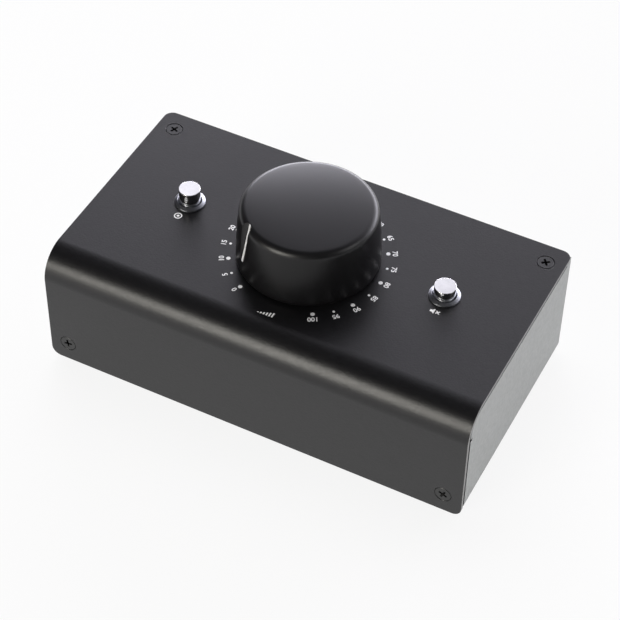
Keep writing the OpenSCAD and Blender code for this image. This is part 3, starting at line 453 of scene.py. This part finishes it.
def build_cover():
    outline = [(REAR_Y, PANEL_Z), *arc(*BEND_MIDDLE, BEND_R, 90, 180, BEND_STEPS)]
    outline += [(FRONT_Y, CASE_Z), (FRONT_Y + SHEET, CASE_Z)]
    outline += [*arc(*BEND_MIDDLE, BEND_R - SHEET, 180, 90, BEND_STEPS), (REAR_Y, PANEL_Z - SHEET)]
    cover = prism("cover_shell", outline, -EDGE_X, EDGE_X, "X")
    panel = (PANEL_Z - SHEET - OVER, PANEL_Z + OVER)
    front = (FRONT_Y - OVER, FRONT_Y + SHEET + OVER)
    for side in (-1, 1):
        cut(cover, prism("waste", corner_waste(side * EDGE_X, REAR_Y, side, 1), *panel))
        cut(cover, prism("waste", corner_waste(side * EDGE_X, CASE_Z, side, -1), *front, "Y"))
    for node in ("mono_bezel", "mute_bezel"):
        middle = middle_of(node)
        cut(cover, prism("hole", circle(middle.x, middle.y, BEZEL_HOLE_R), *panel))
    cut(cover, prism("hole", circle(0, AXIS_Y, BUSHING_HOLE_R), *panel))
    for place, turn in COVER_SCREWS:
        cut(cover, move(lathe("sink", scaled(SINK_SECTION), 32), place, turn))
    return level_normals(smooth(bevel(cover, 0.14 * MM, 35)))


def build_chassis():
    """The chassis with a narrow gap beside the cover's inner face, along its sides' edges."""
    inner_r = BEND_R - SHEET
    sheet_z, sheet_y = PANEL_Z - SHEET, FRONT_Y + SHEET
    outer = arc(*BEND_MIDDLE, inner_r + SEAM_OVER, 90, 180, BEND_STEPS)
    inner = arc(*BEND_MIDDLE, inner_r - SEAM_W, 180, 90, BEND_STEPS)
    outline = [(SEAM_END_Y, sheet_z + SEAM_OVER), *outer, (sheet_y - SEAM_OVER, SEAM_END_Z)]
    outline += [(sheet_y + SEAM_W, SEAM_END_Z), *inner, (SEAM_END_Y, sheet_z - SEAM_W)]
    reach = (CHASSIS_X - SEAM_DEEP, CHASSIS_X + SEAM_OVER)
    grooves = [prism("gap", outline, *sorted(side * x for x in reach), "X") for side in (-1, 1)]
    return softened("chassis", "base_chassis", 0.16 * MM, *grooves)


def cross_cutter():
    """Tapered cross recess, open at z = 0."""
    def ring(scale, z):
        a, w = CROSS_ARM * scale, CROSS_HALF_W * (0.4 + 0.6 * scale)
        half = [(w, a), (w, w), (a, w), (a, -w), (w, -w), (w, -a)]
        return [(x, y, z) for x, y in half + [(-x, -y) for x, y in half]]
    return loft("cross", [ring(0.28, -CROSS_DEEP), ring(1, 0), ring(1, CROSS_DEEP)])


def build_cover_screws():
    screws = []
    for (place, turn), twist in zip(COVER_SCREWS, SCREW_TWISTS):
        screw = cut(lathe("screw", scaled(SCREW_SECTION), 40), cross_cutter())
        screw.data.transform(Matrix.Rotation(radians(twist), 4, "Z"))
        screws.append(move(screw, place, turn))
    return smooth(join("cover_screw_set", screws))


# ---------------------------------------------------------------- knob

KNOB_PLACE = (0, AXIS_Y, knob_low.z)
KNOB_H = knob_high.z - knob_low.z
KNOB_BASE_R = 21.8 * MM
KNOB_TOP_R = 20.3 * MM
KNOB_DOME = 1.6 * MM
KNOB_EDGE_R = 2.6 * MM
KNOB_HOLLOW_R = 17.5 * MM
KNOB_SKIN = 3.2 * MM

# The knob's rounded foot: how far in it starts, how far in and up its middle is, where it ends
FOOT_IN = 0.4 * MM
FOOT_BULGE = 0.12 * MM
FOOT_UP = 0.45 * MM

# The way to the set screw, opposite the pointer, with its start and end from the axis
SET_SCREW_R = 1.75 * MM
SET_SCREW_Z = 11.5 * MM
SET_SCREW_WAY = (10 * MM, 25 * MM)

# The pointer at rest: a round groove with a painted line along its bottom, from low to high
POINTER_TURN = radians(232.5)
POINTER_LOW = Vector((21.66 * MM, 0, 5.6 * MM))
POINTER_HIGH = Vector((18.75 * MM, 0, 19.9 * MM))
GROOVE_R = 2.1 * MM
GROOVE_REACH = (-30 * MM, 40 * MM)
LINE_HALF_W = 0.4 * MM
LINE_PROUD = 0.25 * MM
LINE_SUNK = 0.15 * MM
LINE_INSET_LOW = 0.4 * MM
LINE_INSET_HIGH = 0.35 * MM


def circles_meet(mid_a, r_a, mid_b, r_b):
    """Where two circles meet, on the side away from the axis."""
    apart = (mid_b - mid_a).length
    direction = (mid_b - mid_a) / apart
    along = (r_a * r_a - r_b * r_b + apart * apart) / (2 * apart)
    across = (r_a * r_a - along * along) ** 0.5
    return mid_a + along * direction + across * Vector((direction.y, -direction.x))


def knob_outline():
    """Half section: bowed side, domed top and a rounded edge tangent to both."""
    drop = KNOB_BASE_R - KNOB_TOP_R
    side_r = (KNOB_H ** 2 + drop ** 2) / (2 * drop)
    dome_r = (KNOB_TOP_R ** 2 + KNOB_DOME ** 2) / (2 * KNOB_DOME)
    side_mid = Vector((KNOB_BASE_R - side_r, 0))
    dome_mid = Vector((0, KNOB_H - dome_r))
    edge = circles_meet(dome_mid, dome_r - KNOB_EDGE_R, side_mid, side_r - KNOB_EDGE_R)
    low_turn = degrees(atan2(edge.y - side_mid.y, edge.x - side_mid.x))
    high_turn = degrees(atan2(edge.y - dome_mid.y, edge.x - dome_mid.x))
    start = degrees(asin(FOOT_UP / side_r))
    outline = [(KNOB_HOLLOW_R, 0), (KNOB_BASE_R - FOOT_IN, 0)]
    outline += [(KNOB_BASE_R - FOOT_BULGE, FOOT_BULGE)]
    outline += arc(*side_mid, side_r, start, low_turn, 12)
    outline += arc(*edge, KNOB_EDGE_R, low_turn, high_turn, 12)[1:]
    outline += arc(*dome_mid, dome_r, high_turn, 90, 12)[1:-1]
    under_top = KNOB_H - KNOB_SKIN
    return outline + [(0, KNOB_H), (0, under_top), (KNOB_HOLLOW_R, under_top)]


def along_pointer(obj, shift=0.0):
    """Lays an object made along +Z on the groove's floor, with its +X outwards, shifted so far."""
    run = POINTER_HIGH - POINTER_LOW
    lean = Matrix.Rotation(atan2(run.x, run.z), 4, "Y")
    obj.data.transform(Matrix.Translation(POINTER_LOW) @ lean @ Matrix.Translation((shift, 0, 0)))
    obj.data.transform(Matrix.Rotation(POINTER_TURN, 4, "Z"))
    return obj


def build_knob():
    knob = lathe("knob_body", knob_outline(), 192)
    groove = prism("groove", circle(0, 0, GROOVE_R, 48), *GROOVE_REACH)
    cut(knob, along_pointer(groove, GROOVE_R))
    screw_way = prism("hole", circle(0, SET_SCREW_Z, SET_SCREW_R, 32), *SET_SCREW_WAY, "X")
    screw_way.data.transform(Matrix.Rotation(POINTER_TURN + pi, 4, "Z"))
    cut(knob, screw_way)
    return smooth(bevel(knob, 0.12 * MM, 25), 30)


def build_pointer():
    """Line of white paint along the bottom of the groove."""
    length = (POINTER_HIGH - POINTER_LOW).length
    outline = [(-LINE_SUNK, -LINE_HALF_W), (LINE_PROUD, -LINE_HALF_W)]
    outline += [(LINE_PROUD, LINE_HALF_W), (-LINE_SUNK, LINE_HALF_W)]
    line = prism("knob_line", outline, LINE_INSET_LOW, length - LINE_INSET_HIGH)
    return smooth(along_pointer(bevel(line, 0.06 * MM)))


# ---------------------------------------------------------------- buttons

CAP_R = 3.35 * MM
CAP_FOOT = 0.1 * MM
BARREL_R = 4.3 * MM

# Rounded edges in millimetres: the cap's as (inwards, up) from its top, the ring's rim as (inwards,
# up) from the panel, and the ring's mouth as (outwards, up) from the bore's top
CAP_EDGE = ((0, -0.14), (0.04, -0.05), (0.14, 0))
RING_RIM = ((0.05, 0), (0, 0.05), (0, 0.42), (0.05, 0.52), (0.16, 0.58))
RING_MOUTH = ((0.5, -0.04), (0.42, 0), (0.34, -0.05))


def build_cap(name, node):
    low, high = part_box(node)
    middle = (low + high) / 2
    r = (high.x - low.x) / 2
    outline = [(0, low.z), (r - CAP_FOOT, low.z), (r, low.z + CAP_FOOT)]
    outline += [(r - inwards, high.z + up) for inwards, up in scaled(CAP_EDGE)]
    cap = lathe(name, outline + [(0, high.z)], 64)
    return level_normals(smooth(move(cap, (middle.x, middle.y, 0)), 50))


def build_ring(name, node):
    """Bezel ring: rounded outer rim, sloping land and a bevelled mouth round the cap."""
    low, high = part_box(node)
    middle = (low + high) / 2
    r, bore = (high.x - low.x) / 2, CAP_R + 0.15 * MM
    outline = [(bore, low.z), (BARREL_R, low.z), (BARREL_R, PANEL_Z)]
    outline += [(r - inwards, PANEL_Z + up) for inwards, up in scaled(RING_RIM)]
    outline += [(bore + outwards, high.z + up) for outwards, up in scaled(RING_MOUTH)]
    ring = lathe(name, outline + [(bore, PANEL_Z + 0.5 * MM)], 72)
    return smooth(move(ring, (middle.x, middle.y, 0)), 28)


# ---------------------------------------------------------------- printed marks

INK = 0.02 * MM
INK_Z = PANEL_Z + 0.012 * MM
DOT_RING_R = 24.02 * MM
DOT_R = 0.42 * MM
BIG_DOT_R = 0.66 * MM
NUMBER_RING_R = 26 * MM
NUMBER_SIZE = 2.25 * MM
NUMBER_WEIGHT = 0.05 * MM  # how far the numbers' outlines are thickened
DIAL_VALUES = range(0, 101, 5)

MONO_SIGN = (-43.2 * MM, AXIS_Y - 3.1 * MM)
MUTE_SIGN = (43.1 * MM, AXIS_Y - 3.15 * MM)
LEVEL_SIGN = (-0.3 * MM, AXIS_Y - 26.6 * MM)
SIGN_LINE = 0.36  # this and the rest of the signs' sizes are in millimetres
MONO_RING_R = 1.1
MONO_DOT_R = 0.45
SPEAKER = ((-1.5, -0.42), (-0.85, -0.42), (-0.1, -1.05), (-0.1, 1.05), (-0.85, 0.42), (-1.5, 0.42))
MUTE_CROSS_X = 0.95
MUTE_CROSS_ARM = 0.78


def dial_turn(value):
    """Direction of a dial value, 0 to 100, as an angle from +X."""
    return radians(240 - 3 * value)


def build_dots():
    dots = []
    for value in DIAL_VALUES:
        turn = dial_turn(value)
        x, y = DOT_RING_R * cos(turn), AXIS_Y + DOT_RING_R * sin(turn)
        r = BIG_DOT_R if value % 10 == 0 else DOT_R
        dots.append(prism("dot", circle(x, y, r), INK_Z, INK_Z + INK))
    return join("dial_dots", dots)


def build_numbers():
    numbers = []
    for value in DIAL_VALUES:
        curve = bpy.data.curves.new("number", "FONT")
        curve.body = str(value)
        curve.size = NUMBER_SIZE
        curve.extrude = INK / 2
        curve.offset = NUMBER_WEIGHT
        curve.align_x = "CENTER"
        curve.align_y = "CENTER"
        curve.resolution_u = 4
        text = add_object("number", curve)
        bpy.context.view_layer.update()
        mesh = bpy.data.meshes.new_from_object(text)
        bpy.data.objects.remove(text)
        bpy.data.curves.remove(curve)
        turn = dial_turn(value)
        x, y = NUMBER_RING_R * cos(turn), AXIS_Y + NUMBER_RING_R * sin(turn)
        number = move(add_object("number", mesh), (x, y, INK_Z + INK / 2), (0, 0, turn - pi / 2))
        numbers.append(number)
    return join("dial_numbers", numbers)


def ink(outline, x, y):
    """Printed shape: its outline in millimetres, placed at (x, y)."""
    return prism("ink", [(x + a, y + b) for a, b in scaled(outline)], INK_Z, INK_Z + INK)


def mono_sign():
    """Ring with a dot."""
    x, y = MONO_SIGN
    inner, outer = (MONO_RING_R - SIGN_LINE / 2) * MM, (MONO_RING_R + SIGN_LINE / 2) * MM
    section = [(inner, INK_Z), (outer, INK_Z), (outer, INK_Z + INK), (inner, INK_Z + INK)]
    return [move(lathe("ink", section, 48), (x, y, 0)), ink(circle(0, 0, MONO_DOT_R), x, y)]


def mute_sign():
    """Loudspeaker with a cross."""
    half = SIGN_LINE / 2
    quarter = [(half, MUTE_CROSS_ARM), (half, half), (MUTE_CROSS_ARM, half)]
    cross = []
    for turn in (45, -45, -135, -225):
        c, s = cos(radians(turn)), sin(radians(turn))
        cross += [(MUTE_CROSS_X + a * c - b * s, a * s + b * c) for a, b in quarter]
    return [ink(SPEAKER, *MUTE_SIGN), ink(cross, *MUTE_SIGN)]


def level_sign():
    """Six bars, each a little taller than the one before."""
    bars = []
    for i in range(6):
        left, right, low, high = 0.9 * i - 2.5, 0.9 * i - 2, -0.9, 0.3 * i - 0.6
        bars.append(ink([(left, low), (right, low), (right, high), (left, high)], *LEVEL_SIGN))
    return bars


def build_signs():
    """Plain signs beside the controls: one channel, sound off, and a rising level."""
    return join("control_signs", mono_sign() + mute_sign() + level_sign())


# ---------------------------------------------------------------- materials

COVER_BLACK = powder_coat(
    "cover_black", (0.0075, 0.0073, 0.0082), 0.33, 0.14, edge=(0.17, 0.166, 0.162)
)
# The chassis grey carries painted shade: near black on the faces in the gap under the cover's
# edges.
CHASSIS_GREY = powder_coat("chassis_grey", (0.345, 0.357, 0.34), 0.42, 0.1, gap_shade=shade(0.006))
KNOB_BLACK = moulded("knob_black", (0.0065, 0.0063, 0.007), 0.33, 0.25 * MM, 0.05, handled=True)
MARK_WHITE = moulded("mark_white", shade(0.94), 0.5)
LINE_WHITE = moulded("line_white", shade(0.85), 0.45)
SCREW_BLACK = metal("screw_black", shade(0.07), 0.38)
CHROME = metal("chrome", shade(0.95), 0.06, 0.01)
SATIN_NICKEL = metal("satin_nickel", (0.4, 0.41, 0.44), 0.34, 0.03)
ZINC = metal("zinc", (0.62, 0.62, 0.6), 0.34)
GOLD = metal("contact_gold", (0.85, 0.62, 0.28), 0.2)
SOCKET_BLACK = moulded("socket_black", shade(0.012), 0.42)
FOOT_BLACK = moulded("foot_black", shade(0.015), 0.75, 0.5 * MM, 0.3)
BOARD_GREEN = moulded("board_green", (0.015, 0.09, 0.035), 0.3, 1.5 * MM, 0.1)
RESISTOR_TAN = moulded("resistor_tan", (0.5, 0.36, 0.2), 0.4)
RIBBON_GREY = moulded("ribbon_grey", shade(0.4), 0.5)
PHENOLIC = moulded("phenolic_brown", (0.16, 0.075, 0.03), 0.5)
SWITCH_IVORY = moulded("switch_ivory", (0.75, 0.73, 0.66), 0.4)

# ---------------------------------------------------------------- assembly of the looks

# Pieces that are CAD nodes with softened edges: name, node, width in millimetres, material, slot
SOFTENED = (
    ("feet", "rubber_feet", 0.35, FOOT_BLACK, "foot_rubber"),
    ("jack_screws", "connector_screws", 0.08, SCREW_BLACK, "black_screw"),
    ("left_input_body", "left_input_housing", 0.15, SOCKET_BLACK, "black_plastic"),
    ("right_input_body", "right_input_housing", 0.15, SOCKET_BLACK, "black_plastic"),
    ("left_input_insert", "left_input_core", 0.12, SOCKET_BLACK, "black_plastic"),
    ("right_input_insert", "right_input_core", 0.12, SOCKET_BLACK, "black_plastic"),
    ("left_output_body", "left_output_housing", 0.15, SOCKET_BLACK, "black_plastic"),
    ("right_output_body", "right_output_housing", 0.15, SOCKET_BLACK, "black_plastic"),
)

finish_piece(build_cover(), COVER_BLACK, "case", "cover_paint", "top_cover")
finish_piece(build_cover_screws(), SCREW_BLACK, "case", "black_screw", "cover_screws")
for marks in (build_dots(), build_numbers(), build_signs()):
    finish_piece(marks, MARK_WHITE, "case", "pointer_white")
finish_piece(move(build_knob(), KNOB_PLACE), KNOB_BLACK, "knob", "knob_black", "knob_shell")
finish_piece(
    move(build_pointer(), KNOB_PLACE), LINE_WHITE, "knob", "pointer_white", "knob_pointer"
)
for side in ("mono", "mute"):
    button, cap, bezel = f"{side}_button", f"{side}_cap", f"{side}_bezel"
    finish_piece(build_cap(button, cap), CHROME, button, "chrome", cap)
    finish_piece(build_ring(f"{side}_ring", bezel), SATIN_NICKEL, "case", "chrome", bezel)
finish_piece(build_chassis(), CHASSIS_GREY, "case", "chassis_paint", "base_chassis")
for name, node, width, material, slot in SOFTENED:
    finish_piece(softened(name, node, width * MM), material, "case", slot, node)

dress(KNOB_BLACK, "knob_hub")
dress(SCREW_BLACK, "knob_set_screw")
dress(BOARD_GREEN, "connector_board", "control_board")
dress(RESISTOR_TAN, "resistors")
dress(RIBBON_GREY, "ribbon_cable")
dress(SOCKET_BLACK, "ribbon_headers")
dress(GOLD, "left_input_contacts", "right_input_contacts", "left_output_pins", "right_output_pins")
dress(ZINC, "clinch_nuts", "board_standoffs", "board_screws", "pot_bushing", "pot_back_plate")
dress(ZINC, "pot_rivets", "pot_terminals", "pot_washer", "pot_nut", "pot_shaft")
dress(PHENOLIC, "pot_gang_1", "pot_gang_2", "pot_gang_3", "pot_gang_4", "pot_wipers")
for side in ("mono", "mute"):
    dress(SWITCH_IVORY, f"{side}_plunger", f"{side}_switch_case")
    dress(ZINC, f"{side}_spring", f"{side}_latch_pin", f"{side}_terminals")

# ---------------------------------------------------------------- stage, light and camera

FLOOR_HALF = 3
FLOOR_LOW = -0.01
FLOOR_TOP = -0.0001
FLOOR_GLOW = 0.88  # share of the floor's white that is seen without light
MIRROR_SQUEEZE = (0.5, 1, 0)  # how much X, Y and Z count in the distance of REFLECTED_GLOW_FADE

# Fades as (start, end, value there and before, value there and after). The floor's is over the
# distance from the middle, the wall's and the glow's over the sine of the elevation, and the other
# three over the azimuth from +X.
# Painted light: the floor's glow that reflections see is full near the object and fades away from
# it.
REFLECTED_GLOW_FADE = (0.068, 0.098, 1, 0.45)
WALL_FADE = (sin(radians(8)), sin(radians(34)), 8.5, 0)
GLOW_FADE = (sin(radians(42)), 1.25, 0.87, 0)
WALL_RIGHT_END = (radians(25), radians(60), 0, 1)
WALL_LEFT_END = (radians(124), radians(144), 1, 0)
WALL_SLOPE = (radians(85), radians(135), 0.75, 1.25)
ROOM_COLOUR = (0.97, 0.955, 1.05, 1)
ROOM_LIGHT = 0.035
LAMP_AIM = Vector((0, 0, 0.03))

# The camera, as worked out from the case's edges and screws in the photograph
CAMERA_AZIMUTH = radians(26.39)
CAMERA_ELEVATION = radians(46.5)
CAMERA_ROLL = radians(1.05)
CAMERA_AIM = Vector((0, AXIS_Y, 30 * MM + CASE_Z))
CAMERA_DISTANCE = 620.09 * MM
CAMERA_RIGHT = 0.59 * MM
CAMERA_UP = -8.24 * MM
FOCAL_PIXELS = 2040.15
PHOTO_PIXELS = 620
SENSOR = 36


def build_stage():
    """White floor whose glow in reflections is painted light, brighter near the object as on a lit
    sweep.
    """
    square = [(-FLOOR_HALF, -FLOOR_HALF), (FLOOR_HALF, -FLOOR_HALF)]
    square += [(FLOOR_HALF, FLOOR_HALF), (-FLOOR_HALF, FLOOR_HALF)]
    floor = prism("floor", square, FLOOR_LOW, FLOOR_TOP)
    look = Look("floor_white")
    look.set(Base_Color=(0.85, 0.85, 0.85, 1), Roughness=0.9)
    ray = look.node("LightPath").outputs
    squeezed = look.node("Mapping", {"Vector": look.place, "Scale": MIRROR_SQUEEZE}).outputs[0]
    away = look.node("VectorMath", {0: squeezed}, operation="LENGTH").outputs["Value"]
    # Painted light: the glow that reflections see is brighter near the object and dimmer away from
    # it.
    mirrored = look.maths("MULTIPLY", ray["Is Glossy Ray"], look.fade(away, *REFLECTED_GLOW_FADE))
    seen = look.maths("MAXIMUM", ray["Is Camera Ray"], mirrored)
    share = look.maths("MULTIPLY", seen, FLOOR_GLOW)
    shaders = look.shader.outputs[0], look.node("Emission").outputs[0]
    mix = look.node("MixShader", {0: share, 1: shaders[0], 2: shaders[1]})
    look.feed(look.tree.nodes["Material Output"].inputs["Surface"], mix.outputs[0])
    floor.data.materials.append(look.material)


def build_world():
    """Dark room with a bright wall behind the object and a dim glow over it.

    The camera sees plain white.
    """
    world = bpy.data.worlds.new("room")
    bpy.context.scene.world = world
    world.use_nodes = True
    sky = Nodes(world.node_tree)
    x, y, z = sky.split(sky.node("TexCoord").outputs["Generated"])
    azimuth = sky.maths("ARCTAN2", y, x)
    wall = sky.maths("ADD", sky.fade(z, *WALL_FADE), sky.fade(z, *GLOW_FADE))
    wall = sky.maths("MULTIPLY", wall, sky.fade(azimuth, *WALL_SLOPE))
    ends = [sky.fade(azimuth, *fade) for fade in (WALL_RIGHT_END, WALL_LEFT_END)]
    wall = sky.maths("MULTIPLY", wall, sky.maths("MULTIPLY", *ends))
    room = sky.tree.nodes["Background"]
    sky.feed(room.inputs["Color"], ROOM_COLOUR)
    sky.feed(room.inputs["Strength"], sky.maths("ADD", wall, ROOM_LIGHT))
    white = sky.node("Background", {"Color": (1, 1, 1, 1)})
    seen = sky.node("LightPath").outputs["Is Camera Ray"]
    mix = sky.node("MixShader", {0: seen, 1: room.outputs[0], 2: white.outputs[0]})
    sky.feed(sky.tree.nodes["World Output"].inputs["Surface"], mix.outputs[0])


def softbox(name, azimuth, elevation, distance, size, radiance, colour=(1, 1, 1), mirrored=True):
    """Area lamp that faces the object. Its azimuth is measured from +X."""
    width, height = size
    lamp = bpy.data.lights.new(name, "AREA")
    lamp.shape = "ELLIPSE"
    lamp.size = width
    lamp.size_y = height
    lamp.energy = radiance * pi * width * height
    lamp.color = colour
    holder = add_object(name, lamp)
    holder.visible_glossy = mirrored
    a, e = radians(azimuth), radians(elevation)
    away = Vector((cos(a) * cos(e), sin(a) * cos(e), sin(e)))
    holder.location = away * distance + LAMP_AIM
    holder.rotation_euler = away.to_track_quat("Z", "Y").to_euler()


def build_camera():
    """Camera at the photograph's viewing angle."""
    a, e = CAMERA_AZIMUTH, CAMERA_ELEVATION
    back = Vector((sin(a) * cos(e), -cos(a) * cos(e), sin(e)))
    right = Vector((cos(a), sin(a), 0))
    up = back.cross(right)
    rolled_right = cos(CAMERA_ROLL) * right + sin(CAMERA_ROLL) * up
    rolled_up = cos(CAMERA_ROLL) * up - sin(CAMERA_ROLL) * right
    camera = bpy.data.cameras.new("camera")
    camera.sensor_width = SENSOR
    camera.lens = FOCAL_PIXELS * SENSOR / PHOTO_PIXELS
    holder = add_object("camera", camera)
    place = CAMERA_AIM + back * CAMERA_DISTANCE
    place = place + rolled_right * CAMERA_RIGHT + rolled_up * CAMERA_UP
    axes = Matrix((rolled_right, rolled_up, back)).transposed()
    holder.matrix_world = Matrix.Translation(place) @ axes.to_4x4()
    bpy.context.scene.camera = holder


build_stage()
build_world()
softbox("front_softbox", 253, 19, 1.2, (0.66, 0.66), 5.8, (1, 0.97, 0.9))
softbox("right_softbox", 5, 28, 1.2, (0.68, 0.68), 1.2)
softbox("fill_softbox", 140, 58, 1.5, (1.2, 1.2), 2.4, mirrored=False)
build_camera()
bpy.context.scene.view_settings.view_transform = "Standard"
